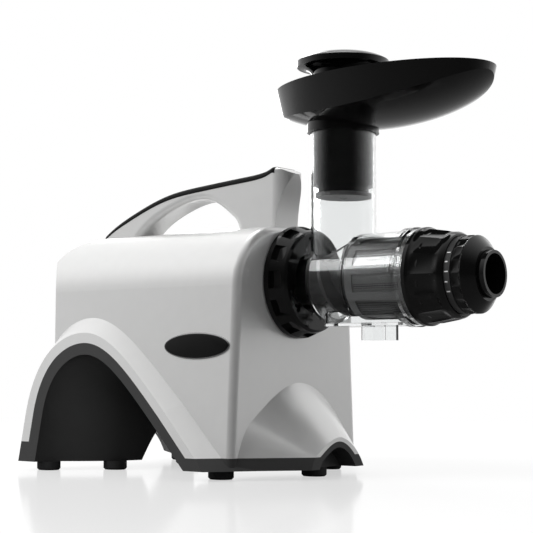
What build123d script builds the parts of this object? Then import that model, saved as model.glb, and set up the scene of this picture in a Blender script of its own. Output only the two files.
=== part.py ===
"""Horizontal cold press juicer: housing, motor, gear train, drum, auger, cap, hopper and pusher."""
import os
from math import acos, cos, pi, radians, sin, tan

from build123d import *

os.makedirs("parts", exist_ok=True)

# ---------------------------------------------------------------- driving dimensions (mm)
# The origin is under the middle of the machine, on the surface that it stands on.
# +X runs along the drum towards the pulp nozzle, +Z is up.
axis_z = 169.0           # height of the drum, gearbox and motor axis
front_x = 24.0           # front face of the housing, behind the lock ring
nozzle_end_x = 222.7     # mouth of the pulp nozzle
rear_x = -223.4          # rear edge of the housing at floor level
base_z = 8.0             # underside of the base, on top of the rubber feet
parting_z = 18.5         # lower edge of the silver shell at the front
rear_parting_z = 26.0    # lower edge of the silver shell on the rear legs
top_z = 216.5            # crown of the housing
deck_z = 118.0           # deck of the base that carries the motor
wall = 3.0               # moulded wall of the housing
lip_half = 111.0         # half width across the flared lips at floor level
lip_lean = 0.13          # how far a lip leans inwards for each millimetre of height
rim_band = 12.0          # black edge that shows inside each silver lip
gap = 0.4                # clearance between pieces that move past each other

chute_x = front_x + 50.4           # feed chute, square over the drum
chute_half = (27.0, 31.0)          # half widths of its oval, along X and Y
chute_wall = 2.0
chute_top_z = 306.0
pusher_top_z = 368.0

drum_axis = Axis((0, 0, axis_z), (1, 0, 0))


# ---------------------------------------------------------------- shared shapes
def across(x, y=0.0, z=0.0):
    """Plane square to the drum axis, with its own x along +Y and its y along +Z."""
    return Plane(origin=(x, y, z), x_dir=(0, 1, 0), z_dir=(1, 0, 0))


def upright(y):
    """Vertical plane that faces -Y, with its own x along +X and its y along +Z."""
    return Plane(origin=(0, y, 0), x_dir=(1, 0, 0), z_dir=(0, -1, 0))


def half_section(*points):
    """Closed half section of a turned piece, from (x, radius) points above the drum axis."""
    with BuildSketch(Plane.XZ) as section:
        with BuildLine():
            Polyline(*[(x, axis_z + r) for x, r in points], close=True)
        make_face()
    return section.sketch


def chute_oval(z, grow=0.0):
    """Oval of the feed chute at height z, grown outwards or, below zero, inwards."""
    with BuildSketch(Plane.XY.offset(z)) as oval:
        with Locations((chute_x, 0)):
            Ellipse(chute_half[0] + grow, chute_half[1] + grow)
    return oval.sketch


def save(builder, name):
    """Label a finished piece and write its STEP file."""
    builder.part.label = name
    export_step(builder.part, f"parts/{name}.step")


# ---------------------------------------------------------------- form of the housing
def housing_section(inset):
    """Cross section of the housing: leaning sides under wide round shoulders."""
    foot, shoulder, crown = 91.5 - inset, 80.5 - inset, top_z - inset
    with BuildSketch(across(rear_x)) as section:
        with BuildLine():
            Polyline((-shoulder, crown - 3), (-foot, 0), (foot, 0), (shoulder, crown - 3))
            ThreePointArc((shoulder, crown - 3), (0, crown + 1), (-shoulder, crown - 3))
        make_face()
        fillet(section.vertices().sort_by(Axis.Y)[-2:], 56 - inset)
    return section.sketch


def housing_profile(inset):
    """Side view of the housing: upright front, level top, leaning and rounded rear."""
    front, low, high = front_x - inset, rear_x + inset, -205 + inset
    with BuildSketch(Plane.XZ) as profile:
        with BuildLine():
            Polyline((front, 0), (front, top_z + 5), (high, top_z - 1 - inset), (low, 0), close=True)
        make_face()
        fillet(profile.vertices().sort_by(Axis.X)[1:2], 36 - inset)
    return profile.sketch


def housing_plan(inset):
    """Plan of the housing, which rounds its upright rear corners."""
    with BuildSketch(Plane.XY) as plan:
        with BuildLine():
            Polyline(
                (front_x - inset, -120), (front_x - inset, 120), (rear_x + 60, 120),
                (rear_x - 1 + inset, 52), (rear_x - 1 + inset, -52), (rear_x + 60, -120), close=True,
            )
        make_face()
        fillet(plan.vertices().sort_by(Axis.X)[:2], 40)
    return plan.sketch


def side_arch(plane, foot_rear, foot_front, crown, grow=0.0):
    """Lopsided arch: steep at the rear, with a long slope towards the front.

    crown is the (x, height) of its top, and grow widens the whole outline.
    """
    top = (crown[0], crown[1] + grow)
    rear, front = foot_rear - min(grow, 18), foot_front + grow
    hip = (rear + 4, crown[1] * 0.45)
    knee = (crown[0] + (front - crown[0]) * 0.66, crown[1] * 0.46 + grow * 0.4)
    with BuildSketch(plane) as arch:
        with BuildLine():
            Line((rear, -2), hip)
            Spline(hip, top, knee, tangents=[(0.08, 1), (0.76, -0.70)])
            Line(knee, (front, -2))
            Line((front, -2), (rear, -2))
        make_face()
    return arch.sketch


def round_arch(plane, half, crown):
    """Even arch of the given half width and height."""
    with BuildSketch(plane) as arch:
        with BuildLine():
            Line((-half, -2), (half, -2))
            Spline(
                (half, -2), (half * 0.62, crown * 0.68), (0, crown), (-half * 0.62, crown * 0.68), (-half, -2),
                tangents=[(-0.3, 1), (-0.3, -1)],
            )
        make_face()
    return arch.sketch


mouth = dict(foot_rear=-206.5, foot_front=10, crown=(-158, 115.5))
stations = [
    (78, dict(foot_rear=-170, foot_front=-16, crown=(-146, 96))),
    (50, dict(foot_rear=-145, foot_front=-34, crown=(-137, 86))),
    (20, dict(foot_rear=-135, foot_front=-42, crown=(-134, 82))),
]
front_lip_x = front_x + 44


def housing_form(inset):
    """Whole outer form of the housing, drawn in by inset, before any opening is cut."""
    with BuildPart() as form:
        extrude(housing_section(inset), amount=260)
        extrude(housing_profile(inset), amount=120, both=True, mode=Mode.INTERSECT)
        extrude(housing_plan(inset), amount=230, mode=Mode.INTERSECT)
        front_rim = form.faces().sort_by(Axis.X)[-1].edges().sort_by(Axis.Z)[1:]
        fillet(front_rim, 6.5 - inset)
        for side in (0, 1):
            lip = loft(
                sections=[
                    side_arch(upright(-74), **mouth, grow=36 - inset),
                    side_arch(lip_face(-1, -inset), **mouth, grow=10 - inset),
                ],
                mode=Mode.PRIVATE,
            )
            add(lip.mirror(Plane.XZ) if side else lip)
        loft(
            sections=[
                round_arch(across(front_x - 14), 88 - inset, 80 - inset),
                round_arch(across(front_x), 89.5 - inset, 80.4 - inset),
                round_arch(across(front_lip_x - inset), 42 - inset, 34 - inset),
            ],
            ruled=True,
        )
        split(bisect_by=Plane.XY.offset(base_z), keep=Keep.TOP)
    return form.part


def lip_face(side, out=0.0):
    """Plane of one flared lip, -1 for the near side and 1 for the far side, moved outwards by out."""
    lean = Plane(origin=(0, side * lip_half, 0), x_dir=(1, 0, 0), z_dir=Vector(0, -1, -side * lip_lean).normalized())
    return lean.offset(-side * out)


def mouth_space(depth):
    """Room inside the outline of both silver lips, down to the given depth below their faces."""
    with BuildPart() as space:
        for side in (-1, 1):
            add(extrude(side_arch(lip_face(side, 12), **mouth), amount=side * (12 + depth), mode=Mode.PRIVATE))
    return space.part


def tunnel_form():
    """Space under the housing: a flared tunnel from side to side, open to the rear too."""
    with BuildPart() as tunnel:
        halves = [side_arch(upright(-y), **station) for y, station in stations]
        others = [side_arch(upright(y), **station) for y, station in reversed(stations)]
        ends = [side_arch(lip_face(side, 0.5), **mouth, grow=-rim_band) for side in (-1, 1)]
        loft(sections=[ends[0], *halves, *others, ends[1]])
        for side in (-1, 1):
            opening = side_arch(lip_face(side, 0.5), **mouth, grow=-rim_band)
            add(extrude(opening, amount=-side * 12, mode=Mode.PRIVATE))
        loft(
            sections=[
                round_arch(across(rear_x - 1), 100, 62),
                round_arch(across(-120), 20, 46),
            ]
        )
    return tunnel.part


def shell_bottom():
    """Everything below the silver shell's lower edge."""
    with BuildPart() as below:
        with Locations((0, 0, parting_z / 2)):
            Box(600, 400, parting_z)
        with Locations((rear_x / 2 - 140, 0, rear_parting_z / 2)):
            Box(abs(rear_x), 400, rear_parting_z)
    return below.part


def nose_arch(start, depth, half, crown):
    """Arched block in the middle of the front nose, running rearwards from start."""
    with BuildPart() as block:
        loft(sections=[round_arch(across(start), half, crown), round_arch(across(start - depth), half - 3, crown - 2)])
    return block.part


outer_form = housing_form(0)
inner_form = housing_form(wall)
tunnel = tunnel_form()
nose_band = nose_arch(front_lip_x + 6, 24, 37, 31)
nose_niche = nose_arch(front_lip_x + 6, 22, 31, 26)

# Silver housing shell, with the holes for the hub, the switch, the gland and the vent slots
switch_x, switch_y, switch_z = -206.0, -28.0, 172.0
gland_z = 132.0
with BuildPart() as housing_shell:
    add(outer_form)
    add(inner_form, mode=Mode.SUBTRACT)
    add(tunnel, mode=Mode.SUBTRACT)
    add(mouth_space(wall + 1), mode=Mode.SUBTRACT)
    add(shell_bottom(), mode=Mode.SUBTRACT)
    add(nose_band, mode=Mode.SUBTRACT)
    with Locations(across(front_x, 0, axis_z)):
        Cylinder(32.4, 40, mode=Mode.SUBTRACT)
    with Locations((switch_x, switch_y, switch_z)):
        Box(40, 20, 30, mode=Mode.SUBTRACT)
    with Locations(across(-210, 0, gland_z)):
        Cylinder(8, 40, mode=Mode.SUBTRACT)
    with Locations((-210, 32, 128)):
        with GridLocations(1, 7, 1, 6):
            Box(60, 3, 34, mode=Mode.SUBTRACT)
save(housing_shell, "housing_shell")

# Black base: lower edge, legs, arched tunnel and motor deck in one moulding
with BuildPart() as base_tray:
    add(outer_form)
    with Locations((0, 0, deck_z + 100)):
        Box(600, 400, 200, mode=Mode.SUBTRACT)
    skin = outer_form - inner_form - shell_bottom() - nose_band - mouth_space(wall + 1)
    add(skin, mode=Mode.SUBTRACT)
    add(tunnel, mode=Mode.SUBTRACT)
    add(nose_niche, mode=Mode.SUBTRACT)
    with Locations((-157, 0, deck_z), (-69, 0, deck_z)):
        with GridLocations(1, 88, 1, 2):
            Cylinder(1.6, 20, mode=Mode.SUBTRACT)
save(base_tray, "base_tray")

# ---------------------------------------------------------------- feet and handle
foot_places = [(-194, 92), (-194, -92), (-150, 50), (-150, -50), (2, 78), (2, -78), (42, 0)]
with BuildPart() as rubber_feet:
    with BuildSketch(Plane.XY):
        with Locations(*foot_places):
            Ellipse(11.5, 10)
    extrude(amount=base_z)
    chamfer(rubber_feet.edges().group_by(Axis.Z)[0], 1.5)
save(rubber_feet, "rubber_feet")


def handle_side(drop=0.0):
    """Side view of the carrying handle before its finger gap, its top lowered by drop."""
    with BuildSketch(Plane.XZ) as side:
        with BuildLine():
            Spline(
                (-222, 190), (-194, 225 - drop), (-159, 242 - drop), (-116, 256 - drop),
                (-72, 261.5 - drop), (-30, 265 - drop), (4, 270 - drop), (24, 266 - drop),
                tangents=[(0.3, 1), (0.9, -0.5)],
            )
            Spline((24, 266 - drop), (17, 246), (12, 190), tangents=[(-0.2, -1), (0, -1)])
            Line((12, 190), (-222, 190))
        make_face()
    return side.sketch


def finger_gap():
    """Side view of the gap between the handle and the top of the housing."""
    with BuildSketch(Plane.XZ) as hole:
        with BuildLine():
            Spline(
                (-170, 190), (-138, 230), (-110, 242.5), (-84, 248.5), (-60, 245), (-42, 233), (-28, 190),
                tangents=[(0.3, 1), (0.1, -1)],
            )
            Line((-28, 190), (-170, 190))
        make_face()
    return hole.sketch


handle_half = 16.5
handle_rear_x = -205.0
handle_front_x = 24.0
inlay_half = 17.0
inlay_depth = 2.6


def on_flank(edge):
    """True for an edge of one of the handle's two flat flanks."""
    return abs(abs(edge.center().Y) - handle_half) < 0.1


with BuildPart() as carry_handle:
    extrude(handle_side(), amount=handle_half, both=True)
    fillet(carry_handle.edges().filter_by(lambda e: on_flank(e) and e.center().Z > 230), 4)
    extrude(finger_gap(), amount=30, both=True, mode=Mode.SUBTRACT)
    gap_edges = carry_handle.edges().filter_by(lambda e: on_flank(e) and e.length > 100 and e.center().Z > 215)
    fillet(gap_edges, 6)
    add(outer_form, mode=Mode.SUBTRACT)
    with BuildSketch(Plane.XY.offset(180)) as handle_plan:
        with Locations(((handle_rear_x + handle_front_x) / 2, 0)):
            Rectangle(handle_front_x - handle_rear_x, 2 * handle_half)
        fillet(handle_plan.vertices().sort_by(Axis.X)[-2:], handle_half - 1)
    extrude(amount=100, mode=Mode.INTERSECT)

with BuildPart() as inlay_space:
    extrude(handle_side() - handle_side(inlay_depth), amount=inlay_half, both=True)
    with Locations((-95, 0, 250)):
        Box(236, 40, 60, mode=Mode.INTERSECT)
    with Locations((31.4, 0, 230)):
        Box(40, 40, 100, mode=Mode.SUBTRACT)
with BuildPart() as handle_inlay:
    add(carry_handle.part)
    add(inlay_space.part, mode=Mode.INTERSECT)
with BuildPart() as handle_body:
    add(carry_handle.part)
    add(inlay_space.part, mode=Mode.SUBTRACT)
save(handle_body, "carry_handle")
save(handle_inlay, "handle_inlay")

# ---------------------------------------------------------------- rear switch and cord gland
switch_half_y, switch_half_z = 10.0, 15.0
with BuildPart() as switch_bezel:
    with Locations((switch_x + 2.2, switch_y, switch_z)):
        Box(15.6, 2 * switch_half_y, 2 * switch_half_z)
        Box(60, 2 * switch_half_y - 4, 2 * switch_half_z - 4, mode=Mode.SUBTRACT)
save(switch_bezel, "switch_bezel")

rocker_pivot_x = switch_x + 6
rocker_radius = 17.0
with BuildPart() as switch_rocker:
    with BuildSketch(upright(switch_y)):
        with Locations((rocker_pivot_x, switch_z)):
            Circle(rocker_radius)
            with Locations((40 - 9, 0)):
                Rectangle(80, 80, mode=Mode.SUBTRACT)
            Rectangle(80, 21, mode=Mode.INTERSECT)
    extrude(amount=switch_half_y - 2.6, both=True)
save(switch_rocker, "switch_rocker")

with BuildPart() as switch_body:
    with Locations((switch_x + 15, switch_y, switch_z)):
        Box(10, 2 * switch_half_y, 2 * switch_half_z)
    with Locations((switch_x + 22.5, switch_y, switch_z)):
        with GridLocations(1, 10, 1, 2):
            Box(5, 0.8, 5)
save(switch_body, "switch_body")

gland_x = -213.2
with BuildPart() as cord_gland:
    with Locations(across(gland_x - 4, 0, gland_z)):
        Cylinder(7.9, 22, align=(Align.CENTER, Align.CENTER, Align.MIN))
        Cylinder(11, 4, align=(Align.CENTER, Align.CENTER, Align.MIN))
        Cylinder(4, 60, mode=Mode.SUBTRACT)
save(cord_gland, "cord_gland")

# ---------------------------------------------------------------- hub and lock ring
neck_r = 24.0
tab_r = 36.5
ring_front = front_x + 21.3
ring_rear_r, ring_front_r = 49.7, 43.8
shaft_r = 12.5

with BuildPart() as hub_collar:
    revolve(
        half_section(
            (8, 20), (8, 32), (front_x, 32), (front_x, 40.4), (front_x + 6, 40.4),
            (front_x + 6, neck_r + gap), (21, neck_r + gap), (21, 20),
        ),
        axis=drum_axis,
    )
save(hub_collar, "hub_collar")

with BuildPart() as shaft_seal:
    revolve(half_section((10, shaft_r + 0.05), (10, 20), (17, 20), (17, shaft_r + 0.05)), axis=drum_axis)
save(shaft_seal, "shaft_seal")

with BuildPart() as lock_ring:
    revolve(
        half_section(
            (front_x + 0.4, 41), (front_x + 0.4, ring_rear_r - 1), (front_x + 1.4, ring_rear_r),
            (front_x + 6, ring_rear_r - 0.4), (ring_front - 2, ring_front_r + 0.6),
            (ring_front, ring_front_r - 1.5), (ring_front, 34), (ring_front - 3, 32), (ring_front - 3, 27),
            (ring_front - 6, 27), (ring_front - 6, 38.5), (front_x + 7, 38.5), (front_x + 7, 41),
        ),
        axis=drum_axis,
    )
    with Locations(across(front_x + 12, 0, axis_z)):
        with PolarLocations(48.2, 12):
            Box(6, 15, 12, mode=Mode.SUBTRACT)
        with PolarLocations(32, 3, start_angle=90):
            Box(12, 22, 60, mode=Mode.SUBTRACT)
save(lock_ring, "lock_ring")

# ---------------------------------------------------------------- drum with chute, trough and spout
barrel_r, barrel_bore = 39.0, 35.0
barrel_x = front_x + 74
mouth_x = 158.0
spigot_x, spigot_r = 170.0, 36.8
trough_x = (front_x + 42, front_x + 122)
trough_half, trough_z = 23.0, 129.0
spout_x, spout_half, spout_z = front_x + 87.6, (12.0, 10.0), 117.0

with BuildPart() as drum:
    revolve(
        half_section(
            (22, 0), (22, neck_r), (52, neck_r), (57, 29), (60, 36.5), (barrel_x - 3, 36.5),
            (barrel_x - 2, 35.8), (barrel_x - 1, barrel_r), (front_x + 119, barrel_r),
            (front_x + 120, 41.5), (mouth_x - 6, 41.5), (mouth_x - 4, 40), (mouth_x, 40),
            (mouth_x, spigot_r), (spigot_x, spigot_r), (spigot_x, 0),
        ),
        axis=drum_axis,
    )
    extrude(chute_oval(axis_z), amount=chute_top_z - axis_z)
    with BuildSketch(Plane.XY.offset(trough_z)):
        with Locations(((trough_x[0] + trough_x[1]) / 2, 0)):
            RectangleRounded(trough_x[1] - trough_x[0], 2 * trough_half, 9)
    extrude(amount=20)
    with Locations((spout_x, 0, (spout_z + trough_z) / 2 + 1)):
        Box(2 * spout_half[0], 2 * spout_half[1], trough_z - spout_z + 2)
    with Locations(across(front_x + 11, 0, axis_z)):
        with PolarLocations(29.5, 3, start_angle=90):
            Box(14, 18, 5.6)
    revolve(
        half_section(
            (20, 0), (20, 20.6), (50, 20.6), (62, 33), (barrel_x - 2, 33), (barrel_x, barrel_bore),
            (spigot_x + 1, barrel_bore), (spigot_x + 1, 0),
        ),
        axis=drum_axis, mode=Mode.SUBTRACT,
    )
    extrude(chute_oval(axis_z, -chute_wall), amount=200, mode=Mode.SUBTRACT)
    with BuildSketch(Plane.XY.offset(trough_z + 2.5)):
        with Locations(((trough_x[0] + trough_x[1]) / 2, 0)):
            RectangleRounded(trough_x[1] - trough_x[0] - 5, 2 * trough_half - 5, 6.5)
    extrude(amount=13, mode=Mode.SUBTRACT)
    with Locations((spout_x, 0, 125)):
        Box(2 * spout_half[0] - 4, 2 * spout_half[1] - 4, 40, mode=Mode.SUBTRACT)
save(drum, "drum")

with BuildPart() as screen_frame:
    revolve(half_section((100, 33.2), (100, 34.6), (160, 34.6), (160, 33.2)), axis=drum_axis)
    with Locations(across(130, 0, axis_z)):
        with PolarLocations(34, 10, start_angle=9):
            Box(6, 14, 46, mode=Mode.SUBTRACT)
save(screen_frame, "screen_frame")

with BuildPart() as screen_mesh:
    revolve(half_section((101, 32.6), (101, 33.2), (159, 33.2), (159, 32.6)), axis=drum_axis)
save(screen_mesh, "screen_mesh")

# ---------------------------------------------------------------- auger
auger_start, auger_end = 31.0, 172.0
flight_r = 31.4
hex_flat = 14.0
with BuildPart() as auger_shaft:
    with BuildSketch(across(13, 0, axis_z)):
        RegularPolygon(hex_flat / 2, 6, major_radius=False)
    extrude(amount=90)
save(auger_shaft, "auger_shaft")

flight_lead = 52.0
flight_span = (68.0, 152.0)
root_r = 22.0


def flight(start):
    """One helical flight, its foot buried in the core, turned by start degrees about the axis."""
    with BuildLine() as lead:
        Helix(
            pitch=flight_lead, height=flight_span[1] - flight_span[0], radius=root_r,
            center=(flight_span[0], 0, axis_z), direction=(1, 0, 0),
        )
    outward = (lead.line @ 0) - Vector(flight_span[0], 0, axis_z)
    with BuildSketch(Plane(lead.line @ 0, outward, lead.line % 0)) as section:
        Rectangle(2 * (flight_r - root_r), 3.2)
    with BuildPart() as thread:
        sweep(section.sketch, path=lead.line, is_frenet=True)
    return thread.part.rotate(drum_axis, start)


with BuildPart() as auger:
    revolve(
        half_section(
            (auger_start, 0), (auger_start, 19.6), (50, 19.6), (60, 15), (148, 24.5), (156, 26), (160, 22),
            (auger_end, 9), (auger_end, 0),
        ),
        axis=drum_axis,
    )
    add(flight(60))
    add(flight(240))
    with BuildSketch(across(0, 0, axis_z)):
        RegularPolygon(hex_flat / 2, 6, major_radius=False)
    extrude(amount=103, mode=Mode.SUBTRACT)
save(auger, "auger")

# ---------------------------------------------------------------- end cap, dial and pulp nozzle
cap_back = mouth_x + 0.5
neck_bore = 19.6
dial_x = 199.5
nozzle_r, nozzle_bore = 19.1, 16.5

with BuildPart() as cap_seal:
    revolve(
        half_section((mouth_x + 0.05, 37.3), (mouth_x + 0.05, 40), (cap_back, 40), (cap_back, 37.3)),
        axis=drum_axis,
    )
save(cap_seal, "cap_seal")

with BuildPart() as drum_cap:
    revolve(
        half_section(
            (cap_back, 37.2), (cap_back, 41), (cap_back + 4, 41), (cap_back + 5, 39.8), (190, 35.6),
            (193.5, 33.5), (193.5, 24), (208, 24), (208, neck_bore), (180, neck_bore), (173, 33),
            (171.5, 37.2),
        ),
        axis=drum_axis,
    )
    with Locations(across(cap_back + 6, 0, axis_z)):
        with PolarLocations(42.4, 16):
            with Locations(Location((0, 0, 0), (0, -9, 0))):
                Cylinder(4, 34, align=(Align.CENTER, Align.CENTER, Align.MIN), mode=Mode.SUBTRACT)
save(drum_cap, "drum_cap")

with BuildPart() as scale_ring:
    revolve(half_section((193.5, 24), (193.5, 32), (199, 32), (199, 24)), axis=drum_axis)
save(scale_ring, "scale_ring")

with BuildPart() as adjust_dial:
    revolve(
        half_section(
            (dial_x, 24.5), (dial_x, 31.8), (208.5, 31.8), (215.5, 23.5), (217, 22), (217, 19.5),
            (209, 19.5), (209, 24.5),
        ),
        axis=drum_axis,
    )
    with Locations(across(dial_x - 0.5, 0, axis_z)):
        with PolarLocations(32.6, 30):
            Cylinder(1.5, 9, align=(Align.CENTER, Align.CENTER, Align.MIN), mode=Mode.SUBTRACT)
save(adjust_dial, "adjust_dial")

with BuildPart() as pulp_nozzle:
    revolve(
        half_section((186, nozzle_bore), (186, nozzle_r), (nozzle_end_x, nozzle_r), (nozzle_end_x, nozzle_bore)),
        axis=drum_axis,
    )
save(pulp_nozzle, "pulp_nozzle")

with BuildPart() as nozzle_seal:
    revolve(
        half_section((189, nozzle_r), (189, neck_bore - 0.05), (191, neck_bore - 0.05), (191, nozzle_r)),
        axis=drum_axis,
    )
save(nozzle_seal, "nozzle_seal")

with BuildPart() as drum_seal:
    revolve(
        half_section((24, neck_r), (24, neck_r + 0.35), (27, neck_r + 0.35), (27, neck_r)), axis=drum_axis
    )
save(drum_seal, "drum_seal")

# ---------------------------------------------------------------- hopper and pusher
bowl_x = 115.5
bowl_half = (104.7, 63.2)
bowl_z = (296.0, 341.2)
bowl_lean = 0.231        # how far the rim wall leans inwards for each millimetre down
belly_place = Location((108.4, 0, 348.9), (0, -2.1, 0))
belly_half = (117.9, 92.6, 49.4)
bowl_wall = 3.0


def bowl_oval(z, inset):
    """Oval outline of the rim wall at height z."""
    draw_in = (bowl_z[1] - z) * bowl_lean + inset
    with BuildSketch(Plane.XY.offset(z)) as oval:
        with Locations((bowl_x, 0)):
            Ellipse(bowl_half[0] - draw_in, bowl_half[1] - draw_in)
    return oval.sketch


def bowl_form(inset, top):
    """Solid bowl: a leaning oval rim wall over a shallow rounded belly."""
    with BuildPart() as form:
        loft(sections=[bowl_oval(bowl_z[0], inset), bowl_oval(top, inset)], ruled=True)
        round_belly = scale(Sphere(1, mode=Mode.PRIVATE), by=tuple(b - inset for b in belly_half), mode=Mode.PRIVATE)
        add(round_belly.moved(belly_place), mode=Mode.INTERSECT)
    return form.part


with BuildPart() as hopper:
    add(bowl_form(0, bowl_z[1]))
    add(bowl_form(bowl_wall, bowl_z[1] + 2), mode=Mode.SUBTRACT)
    extrude(chute_oval(297, 2.9), amount=15)
    extrude(chute_oval(290, gap), amount=chute_top_z + gap - 290, mode=Mode.SUBTRACT)
    extrude(chute_oval(290, -2), amount=60, mode=Mode.SUBTRACT)
    split(bisect_by=Plane(origin=(bowl_x + bowl_half[0], 0, bowl_z[1]), z_dir=(-0.024, 0, 1)), keep=Keep.BOTTOM)
save(hopper, "hopper")

flange_r, flange_z = 40.0, 350.0
with BuildPart() as pusher:
    extrude(chute_oval(250, -2.6), amount=104)
    extrude(chute_oval(244, -6.5), amount=6)
    with BuildSketch(Plane.XZ) as flange_half:
        with BuildLine():
            Line((chute_x, flange_z - 4), (chute_x + 23, flange_z - 4))
            Spline(
                (chute_x + 23, flange_z - 4), (chute_x + 31, flange_z + 3), (chute_x + flange_r, flange_z + 5),
                tangents=[(1, 0.5), (1, 0)],
            )
            Line((chute_x + flange_r, flange_z + 5), (chute_x + flange_r, flange_z + 10))
            Spline(
                (chute_x + flange_r, flange_z + 10), (chute_x + 26, flange_z + 15.5), (chute_x, pusher_top_z),
                tangents=[(-1, 0.7), (-1, 0)],
            )
            Line((chute_x, pusher_top_z), (chute_x, flange_z - 4))
        make_face()
    revolve(axis=Axis((chute_x, 0, 0), (0, 0, 1)))
    with Locations((chute_x, 0, 244)):
        Cylinder(1.6, 14, align=(Align.CENTER, Align.CENTER, Align.MIN), mode=Mode.SUBTRACT)
save(pusher, "pusher")

with BuildPart() as pusher_tip:
    extrude(chute_oval(240.5, -4), amount=3.5)
    with Locations((chute_x, 0, 240)):
        Cylinder(3.6, 2.5, align=(Align.CENTER, Align.CENTER, Align.MIN), mode=Mode.SUBTRACT)
        Cylinder(1.6, 5, align=(Align.CENTER, Align.CENTER, Align.MIN), mode=Mode.SUBTRACT)
save(pusher_tip, "pusher_tip")

with BuildPart() as pusher_screw:
    with Locations((chute_x, 0, 240.8)):
        Cylinder(3.5, 1.7, align=(Align.CENTER, Align.CENTER, Align.MIN))
        Cylinder(1.6, 16, align=(Align.CENTER, Align.CENTER, Align.MIN))
        Box(5, 0.9, 1.6, mode=Mode.SUBTRACT)
save(pusher_screw, "pusher_screw")

# ---------------------------------------------------------------- gear train
module = 1.0
pressure = radians(20)
pinion_teeth, wheel_teeth = 12, 54
centre_distance = module * (pinion_teeth + wheel_teeth) / 2
backlash = 0.16


def involute(angle):
    """Involute function of a pressure angle."""
    return tan(angle) - angle


def gear_outline(plane, teeth, turn=0.0):
    """Outline of a spur gear with its first tooth turned away from the plane's x by turn degrees."""
    pitch_r, base_r = module * teeth / 2, module * teeth / 2 * cos(pressure)
    root_r, tip_r = pitch_r - module, pitch_r + 0.8 * module
    half_tooth = (pi * module / 2 - backlash / 2) / (2 * pitch_r) + involute(pressure)
    flank = [(root_r, half_tooth)] if root_r < base_r else []
    start_r = max(root_r, base_r)
    for step in range(4):
        r = start_r + (tip_r - start_r) * step / 3
        flank.append((r, half_tooth - involute(acos(min(1, base_r / r)))))
    corners = []
    for tooth in range(teeth):
        middle = 2 * pi * tooth / teeth + radians(turn)
        for r, half in flank:
            corners.append((r * cos(middle - half), r * sin(middle - half)))
        for r, half in reversed(flank):
            corners.append((r * cos(middle + half), r * sin(middle + half)))
    with BuildSketch(plane) as outline:
        with BuildLine():
            Polyline(*corners, close=True)
        make_face()
    return outline.sketch


motor_shaft_r = 4.9
with BuildPart() as motor_shaft:
    with Locations(across(-182, 0, axis_z)):
        Cylinder(motor_shaft_r, 182 - 35, align=(Align.CENTER, Align.CENTER, Align.MIN))
    extrude(gear_outline(across(-48, 0, axis_z), pinion_teeth), amount=13)
save(motor_shaft, "motor_shaft")

counter_shaft_r = 4.0
with BuildPart() as counter_gear:
    extrude(gear_outline(across(-45, centre_distance, axis_z), wheel_teeth, 180 / wheel_teeth), amount=8)
    extrude(gear_outline(across(-37, centre_distance, axis_z), pinion_teeth, 15), amount=25)
    with Locations(across(-45, centre_distance, axis_z)):
        Cylinder(counter_shaft_r, 80, mode=Mode.SUBTRACT)
save(counter_gear, "counter_gear")

with BuildPart() as counter_shaft:
    with Locations(across(-53, centre_distance, axis_z)):
        Cylinder(counter_shaft_r, 49, align=(Align.CENTER, Align.CENTER, Align.MIN))
save(counter_shaft, "counter_shaft")

with BuildPart() as output_gear:
    extrude(gear_outline(across(-28, 0, axis_z), wheel_teeth), amount=14)
    with Locations(across(-28, 0, axis_z)):
        Cylinder(shaft_r, 40, mode=Mode.SUBTRACT)
        Cylinder(22, 4, align=(Align.CENTER, Align.CENTER, Align.MIN), mode=Mode.SUBTRACT)
save(output_gear, "output_gear")

with BuildPart() as drive_shaft:
    with Locations(across(-32, 0, axis_z)):
        Cylinder(shaft_r, 61, align=(Align.CENTER, Align.CENTER, Align.MIN))
    with BuildSketch(across(10, 0, axis_z)):
        RegularPolygon(hex_flat / 2 + 0.3, 6, major_radius=False)
    extrude(amount=30, mode=Mode.SUBTRACT)
save(drive_shaft, "drive_shaft")

case_back, case_front = -54.0, -6.0
case_r, case_wall = 34.0, 3.5
bush_r = 8.0


def case_slot(plane, radius):
    """Slot outline that goes round both gear axes."""
    with BuildSketch(plane) as slot:
        with Locations((centre_distance / 2, 0)):
            SlotCenterToCenter(centre_distance, 2 * radius)
    return slot.sketch


screw_places = [(-32.25, 0), (0, 32.25), (33, 32.25), (33 + 32.25, 0), (33, -32.25), (0, -32.25)]
with BuildPart() as gearbox_case:
    extrude(case_slot(across(case_back, 0, axis_z), case_r), amount=case_front - case_back)
    with Locations(((case_back + case_front) / 2, centre_distance / 2, deck_z)):
        Box(30, 50, 24, align=(Align.CENTER, Align.CENTER, Align.MIN))
    extrude(case_slot(across(case_back + 4, 0, axis_z), case_r - case_wall), amount=60, mode=Mode.SUBTRACT)
    with Locations(across(case_back, 0, axis_z)):
        Cylinder(9, 20, mode=Mode.SUBTRACT)
        with Locations((centre_distance, 0)):
            Cylinder(bush_r, 20, mode=Mode.SUBTRACT)
    with Locations(across(case_front - 14, 0, axis_z)):
        with Locations(*screw_places):
            Cylinder(1.25, 20, align=(Align.CENTER, Align.CENTER, Align.MIN), mode=Mode.SUBTRACT)
save(gearbox_case, "gearbox_case")

with BuildPart() as gearbox_cover:
    extrude(case_slot(across(case_front, 0, axis_z), case_r), amount=5)
    with Locations(across(case_front, 0, axis_z)):
        Cylinder(23, 14, align=(Align.CENTER, Align.CENTER, Align.MIN))
        Cylinder(19, 40, mode=Mode.SUBTRACT)
        with Locations((centre_distance, 0)):
            Cylinder(bush_r, 3, align=(Align.CENTER, Align.CENTER, Align.MIN), mode=Mode.SUBTRACT)
        with Locations(*screw_places):
            Cylinder(1.25, 20, mode=Mode.SUBTRACT)
save(gearbox_cover, "gearbox_cover")

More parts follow.
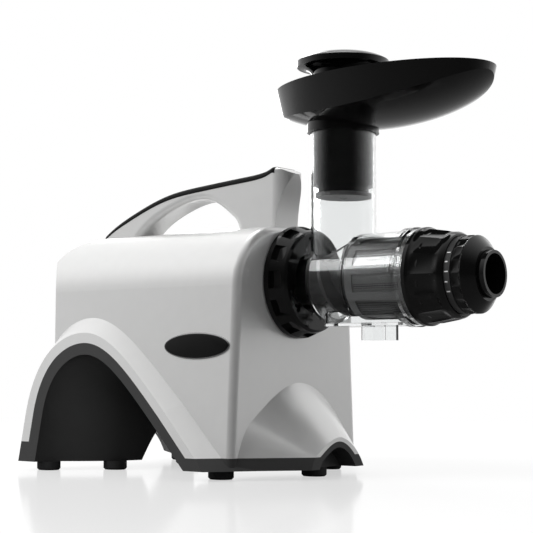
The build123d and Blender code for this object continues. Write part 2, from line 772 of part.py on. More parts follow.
with BuildPart() as gearbox_screws:
    with Locations(across(case_front + 5, 0, axis_z)):
        with Locations(*screw_places):
            Cylinder(1.7, 2, align=(Align.CENTER, Align.CENTER, Align.MIN))
            Cylinder(1.25, 17, align=(Align.CENTER, Align.CENTER, Align.MAX))
save(gearbox_screws, "gearbox_screws")

with BuildPart() as output_bearings:
    for start in (-5, 1.5):
        revolve(
            half_section(
                (start, shaft_r + 0.05), (start, 19), (start + 6, 19), (start + 6, shaft_r + 0.05)
            ),
            axis=drum_axis,
        )
save(output_bearings, "output_bearings")

with BuildPart() as counter_bushes:
    for start in (case_back, case_front - 5):
        with Locations(across(start, centre_distance, axis_z)):
            Cylinder(bush_r, 8, align=(Align.CENTER, Align.CENTER, Align.MIN))
            Cylinder(counter_shaft_r + 0.03, 30, mode=Mode.SUBTRACT)
save(counter_bushes, "counter_bushes")

# ---------------------------------------------------------------- motor
core_x = (-135.0, -95.0)
rotor_r, stator_r = 24.0, 40.0
bell_half = 42.0
bolt_at = 35.0

with BuildPart() as rotor_core:
    with Locations(across(core_x[0], 0, axis_z)):
        Cylinder(rotor_r, core_x[1] - core_x[0], align=(Align.CENTER, Align.CENTER, Align.MIN))
        Cylinder(motor_shaft_r, 100, mode=Mode.SUBTRACT)
save(rotor_core, "rotor_core")

with BuildPart() as stator_core:
    with Locations(across(core_x[0], 0, axis_z)):
        Cylinder(stator_r, core_x[1] - core_x[0], align=(Align.CENTER, Align.CENTER, Align.MIN))
        Cylinder(rotor_r + 0.5, 100, mode=Mode.SUBTRACT)
save(stator_core, "stator_core")

with BuildPart() as stator_windings:
    for start in (core_x[0] - 12, core_x[1]):
        revolve(
            half_section((start, 26), (start, 37), (start + 12, 37), (start + 12, 26)), axis=drum_axis
        )
    fillet(stator_windings.edges().filter_by(lambda e: abs(e.center().X + 115) > 25), 3)
save(stator_windings, "stator_windings")


def end_bell(x):
    """Square end plate of the motor, standing on a foot on the deck."""
    with BuildPart() as bell:
        with BuildSketch(across(x, 0, axis_z)):
            RectangleRounded(2 * bell_half, 2 * bell_half, 9)
        extrude(amount=6)
        with Locations((x + 3, 0, deck_z)):
            Box(6, 60, 12, align=(Align.CENTER, Align.CENTER, Align.MIN))
            Box(18, 100, 5, align=(Align.CENTER, Align.CENTER, Align.MIN))
        with Locations(across(x, 0, axis_z)):
            Cylinder(11, 30, mode=Mode.SUBTRACT)
            with GridLocations(2 * bolt_at, 2 * bolt_at, 2, 2):
                Cylinder(2.5, 30, mode=Mode.SUBTRACT)
        with Locations((x + 3, 0, deck_z)):
            with GridLocations(1, 88, 1, 2):
                Cylinder(1.6, 30, mode=Mode.SUBTRACT)
    return bell.part


bell_x = (-160.0, -72.0)
with BuildPart() as motor_rear_bell:
    add(end_bell(bell_x[0]))
save(motor_rear_bell, "motor_rear_bell")

with BuildPart() as motor_front_bell:
    add(end_bell(bell_x[1]))
save(motor_front_bell, "motor_front_bell")

with BuildPart() as motor_bearings:
    for start in bell_x:
        revolve(
            half_section(
                (start, motor_shaft_r + 0.05), (start, 11), (start + 6, 11), (start + 6, motor_shaft_r + 0.05)
            ),
            axis=drum_axis,
        )
save(motor_bearings, "motor_bearings")

with BuildPart() as motor_bolts:
    with Locations(across(bell_x[0], 0, axis_z)):
        with GridLocations(2 * bolt_at, 2 * bolt_at, 2, 2):
            Cylinder(2.5, bell_x[1] - bell_x[0] + 10, align=(Align.CENTER, Align.CENTER, Align.MIN))
            Cylinder(5, 3.5, align=(Align.CENTER, Align.CENTER, Align.MAX))
    with Locations(across(bell_x[1] + 6, 0, axis_z)):
        with GridLocations(2 * bolt_at, 2 * bolt_at, 2, 2):
            Cylinder(4.6, 3, align=(Align.CENTER, Align.CENTER, Align.MIN))
save(motor_bolts, "motor_bolts")

with BuildPart() as deck_screws:
    with Locations((bell_x[0] + 3, 0, deck_z + 5), (bell_x[1] + 3, 0, deck_z + 5)):
        with GridLocations(1, 88, 1, 2):
            Cylinder(3.4, 2.5, align=(Align.CENTER, Align.CENTER, Align.MIN))
            Cylinder(1.6, 15, align=(Align.CENTER, Align.CENTER, Align.MAX))
save(deck_screws, "deck_screws")

with BuildPart() as cooling_fan:
    with Locations(across(-176, 0, axis_z)):
        Cylinder(9, 10, align=(Align.CENTER, Align.CENTER, Align.MIN))
        with PolarLocations(20, 7):
            with Locations(Location((0, 0, 5), (32, 0, 0))):
                Box(26, 1.6, 11)
        Cylinder(motor_shaft_r, 60, mode=Mode.SUBTRACT)
save(cooling_fan, "cooling_fan")

with BuildPart() as run_capacitor:
    with Locations(across(-145, -62, deck_z + 15)):
        Cylinder(15, 52, align=(Align.CENTER, Align.CENTER, Align.MIN))
        with Locations((0, 0, 52)):
            Box(8, 1, 12)
save(run_capacitor, "run_capacitor")
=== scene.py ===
"""Dressed model of a horizontal cold press juicer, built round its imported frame."""
import math

import bmesh
import bpy
from mathutils import Matrix, Vector


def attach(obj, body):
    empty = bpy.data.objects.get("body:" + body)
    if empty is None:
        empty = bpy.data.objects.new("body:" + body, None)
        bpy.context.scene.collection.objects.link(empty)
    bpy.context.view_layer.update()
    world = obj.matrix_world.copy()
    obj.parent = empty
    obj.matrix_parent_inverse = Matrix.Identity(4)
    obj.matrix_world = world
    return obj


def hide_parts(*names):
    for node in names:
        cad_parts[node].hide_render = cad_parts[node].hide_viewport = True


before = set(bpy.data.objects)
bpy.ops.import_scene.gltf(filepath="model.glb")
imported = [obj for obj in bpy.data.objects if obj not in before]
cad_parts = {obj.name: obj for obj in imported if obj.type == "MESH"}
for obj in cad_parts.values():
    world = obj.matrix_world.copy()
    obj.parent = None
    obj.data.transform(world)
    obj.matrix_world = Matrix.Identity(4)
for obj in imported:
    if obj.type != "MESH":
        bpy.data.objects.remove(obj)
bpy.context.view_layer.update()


# ---------------------------------------------------------------- housing shell
# Two-part moulding in ABS, sprayed with a silver lacquer under a clear coat. It wraps the motor
# and flares out into the lips of the arched base. The lacquer has a fine metal fleck.
def fleck_group():
    """Fine two-scale noise in the object's own space: a height, and a mask from 0 to 1."""
    group = bpy.data.node_groups.new("fine_fleck", "ShaderNodeTree")
    group.interface.new_socket("Scale", in_out="INPUT", socket_type="NodeSocketFloat")
    group.interface.new_socket("Height", in_out="OUTPUT", socket_type="NodeSocketFloat")
    group.interface.new_socket("Mask", in_out="OUTPUT", socket_type="NodeSocketFloat")
    entry, out = group.nodes.new("NodeGroupInput"), group.nodes.new("NodeGroupOutput")
    place = group.nodes.new("ShaderNodeTexCoord")
    fine, broad = group.nodes.new("ShaderNodeTexNoise"), group.nodes.new("ShaderNodeTexNoise")
    fine.inputs["Detail"].default_value = 3.0
    broad.inputs["Detail"].default_value = 4.0
    divide = group.nodes.new("ShaderNodeMath")
    divide.operation = "DIVIDE"
    divide.inputs[1].default_value = 30.0
    link = group.links.new
    link(place.outputs["Object"], fine.inputs["Vector"])
    link(place.outputs["Object"], broad.inputs["Vector"])
    link(entry.outputs["Scale"], fine.inputs["Scale"])
    link(entry.outputs["Scale"], divide.inputs[0])
    link(divide.outputs[0], broad.inputs["Scale"])
    link(fine.outputs["Fac"], out.inputs["Height"])
    link(broad.outputs["Fac"], out.inputs["Mask"])
    return group


FLECK = fleck_group()


def finish_material(name, colour, roughness, scale=900.0, bump=0.05, spread=0.08, tone=0.06, **shader):
    """Moulded, painted or turned surface: colour, roughness and height all vary with the fleck."""
    material = bpy.data.materials.new(name)
    material.use_nodes = True
    nodes, link = material.node_tree.nodes, material.node_tree.links.new
    principled = nodes["Principled BSDF"]
    fleck = nodes.new("ShaderNodeGroup")
    fleck.node_tree = FLECK
    fleck.inputs["Scale"].default_value = scale
    shade = nodes.new("ShaderNodeMix")
    shade.data_type = "RGBA"
    low, high = [[c * (1 + k * tone) for c in colour] + [1.0] for k in (-1, 1)]
    shade.inputs["A"].default_value, shade.inputs["B"].default_value = low, high
    sheen = nodes.new("ShaderNodeMapRange")
    sheen.inputs["To Min"].default_value = max(roughness - spread, 0.02)
    sheen.inputs["To Max"].default_value = roughness + spread
    relief = nodes.new("ShaderNodeBump")
    relief.inputs["Strength"].default_value = bump
    relief.inputs["Distance"].default_value = 0.0004
    link(fleck.outputs["Mask"], shade.inputs["Factor"])
    link(fleck.outputs["Mask"], sheen.inputs["Value"])
    link(fleck.outputs["Height"], relief.inputs["Height"])
    link(shade.outputs["Result"], principled.inputs["Base Color"])
    link(sheen.outputs["Result"], principled.inputs["Roughness"])
    link(relief.outputs["Normal"], principled.inputs["Normal"])
    for socket, value in shader.items():
        principled.inputs[socket.replace("_", " ")].default_value = value
    return material


def dress(node, material):
    """Give a CAD node its finished material."""
    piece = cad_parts[node]
    piece.data.materials.clear()
    piece.data.materials.append(material)


silver_lacquer = finish_material(
    "silver_lacquer", (0.74, 0.74, 0.735), 0.34, scale=2600.0, bump=0.04, spread=0.05, tone=0.03,
    Metallic=0.5, Coat_Weight=0.6, Coat_Roughness=0.06,
)
dress("housing_shell", silver_lacquer)


# ---------------------------------------------------------------- oval plate on the flank
# Plain black enamelled plate in a thin bright rim, let into the near side of the housing.
# It is bare: no name or mark.
PLATE_CENTRE, PLATE_LEAN = Vector((-0.019, -0.0856, 0.1125)), -0.052
PLATE_STEPS = 72
PLATE_EDGE = ((0.0, 0.0), (0.0, 0.55), (0.0006, 0.85), (0.0016, 1.0))    # inset, share of thickness


def join_rings(mesh, one, two):
    """Close the wall between two rings of the same number of points."""
    for k in range(len(one)):
        last = (k + 1) % len(one)
        mesh.faces.new((one[k], one[last], two[last], two[k]))


def make_piece(name, mesh, material):
    """Turn a finished wall of faces into a piece with one material."""
    bmesh.ops.recalc_face_normals(mesh, faces=mesh.faces)
    data = bpy.data.meshes.new(name)
    mesh.to_mesh(data)
    mesh.free()
    data.materials.append(material)
    piece = bpy.data.objects.new(name, data)
    bpy.context.collection.objects.link(piece)
    return piece


def oval_plate(name, half_x, half_z, thickness, centre, material):
    """Oval plate with a rounded rim, facing -Y and leaning back with the housing's side."""
    mesh, rings = bmesh.new(), []
    for inset, lift in PLATE_EDGE:
        ring = []
        for k in range(PLATE_STEPS):
            turn = 2 * math.pi * k / PLATE_STEPS
            x, z = (half_x - inset) * math.cos(turn), (half_z - inset) * math.sin(turn)
            ring.append(mesh.verts.new((x, -thickness * lift, z)))
        rings.append(ring)
    for inner, outer in zip(rings, rings[1:]):
        join_rings(mesh, inner, outer)
    mesh.faces.new(rings[-1])
    mesh.faces.new(reversed(rings[0]))
    plate = make_piece(name, mesh, material)
    plate.data.polygons.foreach_set("use_smooth", [True] * len(plate.data.polygons))
    plate.data.transform(Matrix.Translation(centre) @ Matrix.Rotation(PLATE_LEAN, 4, "X"))
    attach(plate, "base")
    return plate


bright_rim = finish_material("bright_rim", (0.45, 0.45, 0.45), 0.2, spread=0.04, Metallic=1.0)
black_enamel = finish_material(
    "black_enamel", (0.004, 0.004, 0.004), 0.14, bump=0.02, spread=0.04, Specular_IOR_Level=0.2,
)
plate_rim = oval_plate("plate_rim", 0.0370, 0.0115, 0.0012, PLATE_CENTRE, bright_rim)
FACE_CENTRE = PLATE_CENTRE + Vector((0, -0.0008, 0))
plate_face = oval_plate("plate_face", 0.0360, 0.0105, 0.0010, FACE_CENTRE, black_enamel)

# ---------------------------------------------------------------- base and feet
# Black moulding that carries the motor on its deck. Its lower edge, legs and arched tunnel
# show, with a fine spark-eroded grain. Seven rubber feet are pressed in below.
black_moulding = finish_material(
    "black_moulding", (0.036, 0.036, 0.036), 0.46, scale=1500.0, bump=0.2, spread=0.07, tone=0.12,
    Specular_IOR_Level=0.3,
)
dress("base_tray", black_moulding)
foot_rubber = finish_material(
    "foot_rubber", (0.022, 0.022, 0.023), 0.72, scale=1100.0, bump=0.3, spread=0.1, tone=0.15,
)
dress("rubber_feet", foot_rubber)

# ---------------------------------------------------------------- carrying handle
# Silver moulding over the top of the housing. A soft black strip is moulded over its crown
# and wraps a few millimetres down both flanks.
dress("carry_handle", silver_lacquer)
soft_strip = finish_material(
    "soft_strip", (0.010, 0.010, 0.010), 0.5, scale=1300.0, bump=0.2, spread=0.08, tone=0.1,
    Specular_IOR_Level=0.1,
)
STRIP_REAR, STRIP_FRONT, STRIP_STATIONS = -0.2047, 0.0110, 64
STRIP_HALF, STRIP_CORNER, STRIP_PROUD = 0.0165, 0.004, 0.0003
STRIP_DEPTH, STRIP_REAR_SHARE, STRIP_GROWTH = 0.0052, 0.75, 1.5
ABOVE_HANDLE = 0.4


def strip_height(x):
    """Height of the handle's crown at x, felt from above on the strip that the solid carries."""
    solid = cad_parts["handle_inlay"]
    to_solid = solid.matrix_world.inverted()
    down = to_solid.to_3x3() @ Vector((0, 0, -1))
    hit, point, _, _ = solid.ray_cast(to_solid @ Vector((x, 0, ABOVE_HANDLE)), down)
    return (solid.matrix_world @ point).z if hit else None


def strip_outline(depth):
    """Inverted U across the handle, as (y, z) points measured from its crown."""
    reach, corner = STRIP_HALF + STRIP_PROUD, STRIP_CORNER + STRIP_PROUD
    side = [(reach, -depth)]
    for degrees in range(0, 91, 15):
        turn = math.radians(degrees)
        y = reach - corner * (1 - math.cos(turn))
        side.append((y, STRIP_PROUD - corner * (1 - math.sin(turn))))
    return side + [(-y, z) for y, z in reversed(side)]


def grip_strip():
    """Soft strip lofted along the handle's crown, thinning out towards its rear end."""
    mesh, rings = bmesh.new(), []
    for k in range(STRIP_STATIONS + 1):
        along = k / STRIP_STATIONS
        x = STRIP_REAR + (STRIP_FRONT - STRIP_REAR) * along
        crown = strip_height(x)
        if crown is None:
            continue
        outline = strip_outline(STRIP_DEPTH * min(1.0, STRIP_REAR_SHARE + STRIP_GROWTH * along))
        rings.append([mesh.verts.new((x, y, crown + z)) for y, z in outline])
    for one, two in zip(rings, rings[1:]):
        join_rings(mesh, one, two)
    mesh.faces.new(rings[0])
    mesh.faces.new(reversed(rings[-1]))
    strip = make_piece("grip_strip", mesh, soft_strip)
    faces = strip.data.polygons
    faces.foreach_set("use_smooth", [len(face.vertices) == 4 for face in faces])
    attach(strip, "base")
    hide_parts("handle_inlay")
    return strip


grip_strip()

# ---------------------------------------------------------------- switch and cord gland
# Rocker switch that snaps into a black frame, and a rubber gland where a cord would enter.
# Both sit in the rear wall of the housing.
dress("switch_bezel", black_moulding)
dress("switch_body", black_moulding)
gloss_black = finish_material(
    "gloss_black", (0.004, 0.004, 0.004), 0.11, scale=700.0, bump=0.02, spread=0.04, tone=0.1,
    Specular_IOR_Level=0.35,
)
dress("switch_rocker", gloss_black)
dress("cord_gland", foot_rubber)

# ---------------------------------------------------------------- hub and lock ring
# Black collar that the drum plugs into, with the shaft's lip seal, and the gripped ring
# that turns to lock the drum's three tabs.
dress("hub_collar", black_moulding)
seal_rubber = finish_material(
    "seal_rubber", (0.30, 0.31, 0.32), 0.55, scale=1200.0, bump=0.15, spread=0.1, tone=0.1,
)
dress("shaft_seal", seal_rubber)
dress("lock_ring", gloss_black)

# ---------------------------------------------------------------- drum, chute and spout
# One moulding in a tough clear plastic: barrel, feed chute, juice trough and box spout. It
# plugs into the collar with a ring seal round its neck.
clear_moulding = finish_material(
    "clear_moulding", (0.93, 0.94, 0.94), 0.05, scale=160.0, bump=0.012, spread=0.03, tone=0.01,
    Transmission_Weight=1.0, IOR=1.42, Specular_IOR_Level=0.25,
)
dress("drum", clear_moulding)
dress("drum_seal", seal_rubber)

# ---------------------------------------------------------------- juicing screen
# Grey moulded frame round a sheet of steel with very fine holes. It is pushed into the drum
# from its open mouth, and the cap holds it there.
grey_moulding = finish_material(
    "grey_moulding", (0.12, 0.12, 0.12), 0.36, scale=1200.0, bump=0.1, spread=0.07, tone=0.06,
)
dress("screen_frame", grey_moulding)


def mesh_material():
    """Steel sheet with rows of fine holes, drawn with a dot pattern in colour and height."""
    material = finish_material("screen_steel", (0.2, 0.2, 0.2), 0.34, scale=600.0, Metallic=0.9)
    nodes, link = material.node_tree.nodes, material.node_tree.links.new
    principled = nodes["Principled BSDF"]
    place, dots = nodes.new("ShaderNodeTexCoord"), nodes.new("ShaderNodeTexVoronoi")
    dots.inputs["Scale"].default_value = 620.0
    dots.inputs["Randomness"].default_value = 0.0
    ramp = nodes.new("ShaderNodeValToRGB")
    ramp.color_ramp.elements[0].position = 0.30
    ramp.color_ramp.elements[0].color = (0.02, 0.02, 0.02, 1)
    ramp.color_ramp.elements[1].position = 0.42
    ramp.color_ramp.elements[1].color = (0.20, 0.20, 0.20, 1)
    relief = nodes.new("ShaderNodeBump")
    relief.inputs["Strength"].default_value = 0.5
    relief.inputs["Distance"].default_value = 0.0003
    link(place.outputs["Object"], dots.inputs["Vector"])
    link(dots.outputs["Distance"], ramp.inputs["Fac"])
    link(ramp.outputs["Color"], principled.inputs["Base Color"])
    link(dots.outputs["Distance"], relief.inputs["Height"])
    link(relief.outputs["Normal"], principled.inputs["Normal"])
    return material


dress("screen_mesh", mesh_material())

# ---------------------------------------------------------------- auger
# Slow screw moulded in a dark glass-filled plastic on a steel shaft, which plugs into the
# drive shaft behind the collar.
auger_plastic = finish_material(
    "auger_plastic", (0.02, 0.02, 0.021), 0.38, scale=900.0, bump=0.12, spread=0.08, tone=0.12,
)
dress("auger", auger_plastic)
turned_steel = finish_material(
    "turned_steel", (0.56, 0.56, 0.57), 0.24, scale=1800.0, bump=0.05, spread=0.06, Metallic=1.0,
)
dress("auger_shaft", turned_steel)

# ---------------------------------------------------------------- end cap
# Black cap that closes the drum, on a flat face seal. Broad scallops are moulded round it for
# the hand, and its neck carries the scale and the dial.
dress("drum_cap", gloss_black)
dress("cap_seal", seal_rubber)
DRUM_AXIS_Z = 0.169
MM = 0.001
SCALLOP_STEPS, SCALLOP_POWER = 12, 0.8
SHARP_EDGE = math.radians(32)
RUN_OUT = 0.24           # share of a scalloped wall in which the scallops run out at each end
WALL_STATIONS = (0, 0.05, 0.1, 0.16, 0.24, 0.5, 0.76, 0.84, 0.9, 0.95, 1)


def scalloped_turning(name, outline, scallops, depth, node, body):
    """Turned piece whose outline is (x, radius, share of the scallop's depth), in millimetres."""
    steps = scallops * SCALLOP_STEPS
    mesh, rings = bmesh.new(), []
    for x, radius, share in outline:
        ring = []
        for k in range(steps):
            turn = 2 * math.pi * k / steps
            hollow = math.sin(math.pi * (k % SCALLOP_STEPS) / SCALLOP_STEPS) ** SCALLOP_POWER
            r = (radius - share * depth * hollow) * MM
            ring.append(mesh.verts.new((x * MM, -r * math.cos(turn), DRUM_AXIS_Z + r * math.sin(turn))))
        rings.append(ring)
    for one, two in zip(rings, rings[1:] + rings[:1]):
        join_rings(mesh, one, two)
    piece = make_piece(name, mesh, gloss_black)
    piece.data.polygons.foreach_set("use_smooth", [True] * len(piece.data.polygons))
    piece.data.set_sharp_from_angle(angle=SHARP_EDGE)
    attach(piece, body)
    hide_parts(node)
    return piece


def scalloped_wall(start, end, lift):
    """Points along a scalloped wall, where the scallops run out smoothly at both ends."""
    points = []
    for along in WALL_STATIONS:
        ease = min(along, 1 - along, RUN_OUT) / RUN_OUT
        share = ease * ease * (3 - 2 * ease)
        x, radius = (a + (b - a) * along for a, b in zip(start, end))
        points.append((x, radius + lift * share, share))
    return points


CAP_SCALLOPS, CAP_DEPTH = 14, 2.2
CAP_OUTLINE = [
    (158.5, 37.2, 0), (158.5, 40.6, 0), (158.9, 41, 0), (162.1, 41, 0), (162.5, 40.6, 0),
    *scalloped_wall((163.5, 39.8), (190, 35.6), 0.5),
    (192.9, 33.9, 0), (193.5, 33.2, 0), (193.5, 24, 0), (208, 24, 0), (208, 19.6, 0), (180, 19.6, 0),
    (173, 33, 0), (171.5, 37.2, 0),
]
scalloped_cap = scalloped_turning(
    "scalloped_cap", CAP_OUTLINE, CAP_SCALLOPS, CAP_DEPTH, "drum_cap", "cap",
)

# ---------------------------------------------------------------- scale ring and dial
# Black ring with a plain scale of raised pale marks round the cap's neck, and the scalloped
# dial beside it that drives the pulp nozzle in and out.
dress("scale_ring", black_moulding)
dress("adjust_dial", gloss_black)
DIAL_SCALLOPS, DIAL_DEPTH = 18, 1.5
DIAL_OUTLINE = [
    (199.5, 24.5, 0), (199.5, 31.3, 0), *scalloped_wall((199.8, 31.8), (208.3, 31.8), 0.3),
    (208.9, 31.4, 0), (215.5, 23.5, 0), (217, 22, 0), (217, 19.5, 0), (209, 19.5, 0), (209, 24.5, 0),
]
scalloped_dial = scalloped_turning(
    "scalloped_dial", DIAL_OUTLINE, DIAL_SCALLOPS, DIAL_DEPTH, "adjust_dial", "dial",
)
pale_print = finish_material(
    "pale_print", (0.62, 0.62, 0.62), 0.5, scale=1200.0, bump=0.05, tone=0.05,
)
RING_RADIUS, MARK_SINK, MARK_LIFT = 0.0320, 0.0002, 0.00012
MARK_FROM, MARK_TO, SHORT_MARK = 0.1946, 0.1979, 0.7
MARK_COUNT, MARK_MIDDLE, MARK_STEP, MARK_HALF = 5, 2.0, 14.6, 0.9       # the last three in degrees
BLOCK_FACES = ((0, 1, 3, 2), (4, 6, 7, 5), (0, 4, 5, 1), (2, 3, 7, 6), (0, 2, 6, 4), (1, 5, 7, 3))


def scale_marks():
    """Raised marks on the scale ring, evenly spaced about its near side, every other one short."""
    mesh = bmesh.new()
    for k in range(MARK_COUNT):
        centre = MARK_MIDDLE + MARK_STEP * (k - MARK_COUNT // 2)
        reach = MARK_FROM + (MARK_TO - MARK_FROM) * (SHORT_MARK if k % 2 else 1.0)
        corners = []
        for x in (MARK_FROM, reach):
            for r in (RING_RADIUS - MARK_SINK, RING_RADIUS + MARK_LIFT):
                for side in (-1, 1):
                    turn = math.radians(centre + side * MARK_HALF)
                    place = (x, -r * math.cos(turn), DRUM_AXIS_Z + r * math.sin(turn))
                    corners.append(mesh.verts.new(place))
        for face in BLOCK_FACES:
            mesh.faces.new([corners[i] for i in face])
    marks = make_piece("scale_marks", mesh, pale_print)
    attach(marks, "cap")
    return marks


scale_marks()

# ---------------------------------------------------------------- pulp nozzle
# Black tube that lets the pulp out through the middle of the cap. It slides as the dial turns,
# with a ring seal round it.
dress("pulp_nozzle", gloss_black)
dress("nozzle_seal", seal_rubber)

# ---------------------------------------------------------------- hopper and pusher
# Oval bowl in glossy black plastic that sits on the chute, and the plunger with its domed top.
# The plunger's grey tip is held by a plated screw.
dress("hopper", gloss_black)
dress("pusher", gloss_black)
dress("pusher_tip", grey_moulding)
plated_steel = finish_material(
    "plated_steel", (0.66, 0.66, 0.67), 0.18, scale=900.0, bump=0.03, spread=0.05, Metallic=1.0,
)
dress("pusher_screw", plated_steel)

# ---------------------------------------------------------------- gear train
# Two-stage reduction: nylon wheels on steel shafts that run in sintered bushes, in a cast
# case with a screwed cover.
gear_nylon = finish_material(
    "gear_nylon", (0.78, 0.77, 0.71), 0.45, scale=800.0, bump=0.08, spread=0.08, tone=0.05,
)
cast_alloy = finish_material(
    "cast_alloy", (0.52, 0.53, 0.54), 0.48, scale=700.0, bump=0.4, spread=0.1, tone=0.08, Metallic=0.9,
)
sintered_bronze = finish_material(
    "sintered_bronze", (0.50, 0.36, 0.18), 0.42, scale=2000.0, bump=0.15, spread=0.08, Metallic=1.0,
)
for node in ("counter_gear", "output_gear"):
    dress(node, gear_nylon)
for node in ("gearbox_case", "gearbox_cover"):
    dress(node, cast_alloy)
for node in ("counter_shaft", "drive_shaft"):
    dress(node, turned_steel)
for node in ("output_bearings", "counter_bushes"):
    dress(node, sintered_bronze)
dress("gearbox_screws", plated_steel)

# ---------------------------------------------------------------- motor
# Induction motor: laminated cores, enamelled copper windings, cast end plates held by long
# bolts, a cooling fan on the shaft and a run capacitor beside it.
laminations = finish_material(
    "laminations", (0.30, 0.30, 0.31), 0.4, scale=500.0, bump=0.2, spread=0.08, tone=0.15, Metallic=0.9,
)
enamelled_copper = finish_material(
    "enamelled_copper", (0.46, 0.17, 0.07), 0.3, scale=900.0, bump=0.5, spread=0.1, tone=0.25, Metallic=0.7,
)
for node in ("rotor_core", "stator_core"):
    dress(node, laminations)
dress("stator_windings", enamelled_copper)
for node in ("motor_rear_bell", "motor_front_bell"):
    dress(node, cast_alloy)
dress("motor_shaft", turned_steel)
dress("motor_bearings", sintered_bronze)
for node in ("motor_bolts", "deck_screws"):
    dress(node, plated_steel)
dress("cooling_fan", auger_plastic)
dress("run_capacitor", black_moulding)

# ---------------------------------------------------------------- floor, light and camera
# Pale polished floor that runs into a white surround, three broad soft lamps, and a long lens
# near table height. The floor keeps the shadow and a faint mirror image of the machine. Light
# bounced off the floor is painted a darker grey, a painted shade on the machine's lower parts.
FLOOR_HALF = 9.0


def plain_view(nodes, link, rays, bounced):
    """Mask of the rays that reach the eye straight, or through clear plastic alone."""
    straight, through, plain = (nodes.new("ShaderNodeMath") for _ in range(3))
    straight.operation, through.operation, plain.operation = "SUBTRACT", "MULTIPLY", "MAXIMUM"
    straight.use_clamp = True
    straight.inputs[0].default_value = 1.0
    link(bounced, straight.inputs[1])
    link(straight.outputs[0], through.inputs[0])
    link(rays.outputs["Is Transmission Ray"], through.inputs[1])
    link(rays.outputs["Is Camera Ray"], plain.inputs[0])
    link(through.outputs[0], plain.inputs[1])
    return plain.outputs[0]


floor_data = bpy.data.meshes.new("floor")
floor_corners = [(FLOOR_HALF * x, FLOOR_HALF * y, 0) for x, y in ((-1, -1), (1, -1), (1, 1), (-1, 1))]
floor_data.from_pydata(floor_corners, [], [(0, 1, 2, 3)])
floor = bpy.data.objects.new("floor", floor_data)
bpy.context.collection.objects.link(floor)
floor_paint = bpy.data.materials.new("floor_paint")
floor_paint.use_nodes = True
floor_nodes, floor_link = floor_paint.node_tree.nodes, floor_paint.node_tree.links.new
floor_shader = floor_nodes["Principled BSDF"]
floor_shader.inputs["Roughness"].default_value = 0.11
# Painted shade: the floor is pale to the eye but a darker grey to light that bounces off it onto the
# machine.
floor_eye_white_bounce_shade = floor_nodes.new("ShaderNodeMix")
floor_eye_white_bounce_shade.data_type = "RGBA"
floor_eye_white_bounce_shade.inputs["B"].default_value = (0.90, 0.90, 0.90, 1)
floor_place, floor_reach = floor_nodes.new("ShaderNodeTexCoord"), floor_nodes.new("ShaderNodeVectorMath")
floor_reach.operation = "LENGTH"
floor_fade = floor_nodes.new("ShaderNodeMapRange")
floor_fade.interpolation_type = "SMOOTHSTEP"
floor_fade.inputs["From Min"].default_value = 0.35
floor_fade.inputs["From Max"].default_value = 1.3
floor_fade.inputs["To Min"].default_value = 0.58
floor_glow, floor_mix = floor_nodes.new("ShaderNodeEmission"), floor_nodes.new("ShaderNodeMixShader")
floor_rays = floor_nodes.new("ShaderNodeLightPath")
floor_clear = plain_view(floor_nodes, floor_link, floor_rays, floor_rays.outputs["Glossy Depth"])
floor_seen = floor_nodes.new("ShaderNodeMath")
floor_seen.operation = "MULTIPLY"
# Painted shade: bounced rays see the floor at 0.30, and glossy rays at 0.14. This darkens the lower body
# and the reflections in the black gloss.
floor_bounce_shade = floor_nodes.new("ShaderNodeMix")
floor_bounce_shade.data_type = "RGBA"
floor_bounce_shade.inputs["A"].default_value = (0.30, 0.30, 0.30, 1)
floor_bounce_shade.inputs["B"].default_value = (0.14, 0.14, 0.14, 1)
floor_link(floor_rays.outputs["Is Glossy Ray"], floor_bounce_shade.inputs["Factor"])
floor_link(floor_bounce_shade.outputs["Result"], floor_eye_white_bounce_shade.inputs["A"])
floor_link(floor_clear, floor_eye_white_bounce_shade.inputs["Factor"])
floor_link(floor_eye_white_bounce_shade.outputs["Result"], floor_shader.inputs["Base Color"])
floor_link(floor_place.outputs["Object"], floor_reach.inputs[0])
floor_link(floor_reach.outputs["Value"], floor_fade.inputs["Value"])
floor_link(floor_fade.outputs["Result"], floor_seen.inputs[0])
floor_link(floor_clear, floor_seen.inputs[1])
floor_link(floor_seen.outputs[0], floor_mix.inputs["Fac"])
floor_link(floor_shader.outputs[0], floor_mix.inputs[1])
floor_link(floor_glow.outputs[0], floor_mix.inputs[2])
floor_link(floor_mix.outputs[0], floor_nodes["Material Output"].inputs["Surface"])
floor.data.materials.append(floor_paint)

world = bpy.data.worlds.new("white_surround")
bpy.context.scene.world = world
world.use_nodes = True
world_nodes, world_link = world.node_tree.nodes, world.node_tree.links.new
soft, mirrored, seen = (world_nodes.new("ShaderNodeBackground") for _ in range(3))
soft.inputs["Strength"].default_value = 0.62
seen.inputs["Strength"].default_value = 1.0
for shade in (soft, mirrored, seen):
    shade.inputs["Color"].default_value = (1, 1, 1, 1)
way, lean, wall = (world_nodes.new(k) for k in (
    "ShaderNodeTexCoord", "ShaderNodeVectorMath", "ShaderNodeMapRange"))
lean.operation = "DOT_PRODUCT"
lean.inputs[1].default_value = (-0.55, 0.70, 0.45)      # the white backdrop stands this way
wall.interpolation_type = "SMOOTHSTEP"
wall.inputs["From Min"].default_value = -0.60
wall.inputs["From Max"].default_value = 0.55
wall.inputs["To Min"].default_value = 0.04
wall.inputs["To Max"].default_value = 1.0
world_link(way.outputs["Generated"], lean.inputs[0])
world_link(lean.outputs["Value"], wall.inputs["Value"])
world_link(wall.outputs["Result"], mirrored.inputs["Strength"])
rays = world_nodes.new("ShaderNodeLightPath")
bounced = world_nodes.new("ShaderNodeMath")
bounced.operation, bounced.use_clamp = "MAXIMUM", True
clear = plain_view(world_nodes, world_link, rays, bounced.outputs[0])
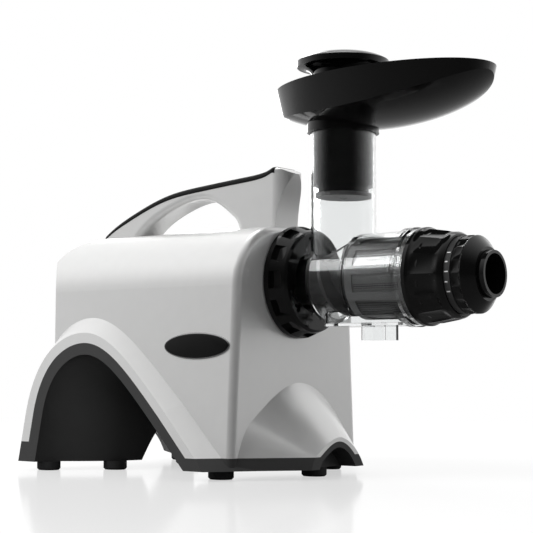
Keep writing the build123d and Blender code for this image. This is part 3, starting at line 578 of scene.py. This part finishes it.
gloss_mix, seen_mix = world_nodes.new("ShaderNodeMixShader"), world_nodes.new("ShaderNodeMixShader")
world_link(rays.outputs["Glossy Depth"], bounced.inputs[0])
world_link(rays.outputs["Is Glossy Ray"], bounced.inputs[1])
world_link(bounced.outputs[0], gloss_mix.inputs["Fac"])
world_link(soft.outputs[0], gloss_mix.inputs[1])
world_link(mirrored.outputs[0], gloss_mix.inputs[2])
world_link(clear, seen_mix.inputs["Fac"])
world_link(gloss_mix.outputs[0], seen_mix.inputs[1])
world_link(seen.outputs[0], seen_mix.inputs[2])
world_link(seen_mix.outputs[0], world_nodes["World Output"].inputs["Surface"])

TARGET = Vector((0.0, 0.0, 0.16))


def soft_lamp(name, place, size, watts, mirrored=True):
    """Broad rectangular lamp aimed at the machine; it shows in glossy surfaces only if mirrored."""
    data = bpy.data.lights.new(name, "AREA")
    data.shape, data.size, data.size_y, data.energy = "RECTANGLE", size[0], size[1], watts
    lamp = bpy.data.objects.new(name, data)
    lamp.location = place
    lamp.rotation_euler = (TARGET - Vector(place)).to_track_quat("-Z", "Y").to_euler()
    lamp.visible_glossy = mirrored
    bpy.context.collection.objects.link(lamp)


soft_lamp("key", (-1.3, -1.5, 1.5), (1.3, 1.0), 46, mirrored=False)
soft_lamp("top", (-0.3, 0.6, 1.9), (1.6, 0.9), 9)
soft_lamp("edge", (-1.3, 1.2, 0.9), (0.5, 1.2), 7)

CAMERA_PLACE = Vector((0.78268, -1.00077, 0.09584))
CAMERA_RIGHT = Vector((0.78359, 0.62128, 0.0))
CAMERA_UP = Vector((0.04315, -0.05445, 0.99758))
camera_data = bpy.data.cameras.new("camera")
camera_data.lens, camera_data.sensor_width = 95.9, 36.0
camera = bpy.data.objects.new("camera", camera_data)
bpy.context.collection.objects.link(camera)
back = CAMERA_RIGHT.cross(CAMERA_UP)
turn = Matrix((CAMERA_RIGHT, CAMERA_UP, back)).transposed().to_4x4()
camera.matrix_world = Matrix.Translation(CAMERA_PLACE) @ turn
bpy.context.scene.camera = camera
bpy.context.scene.view_settings.view_transform = "Standard"
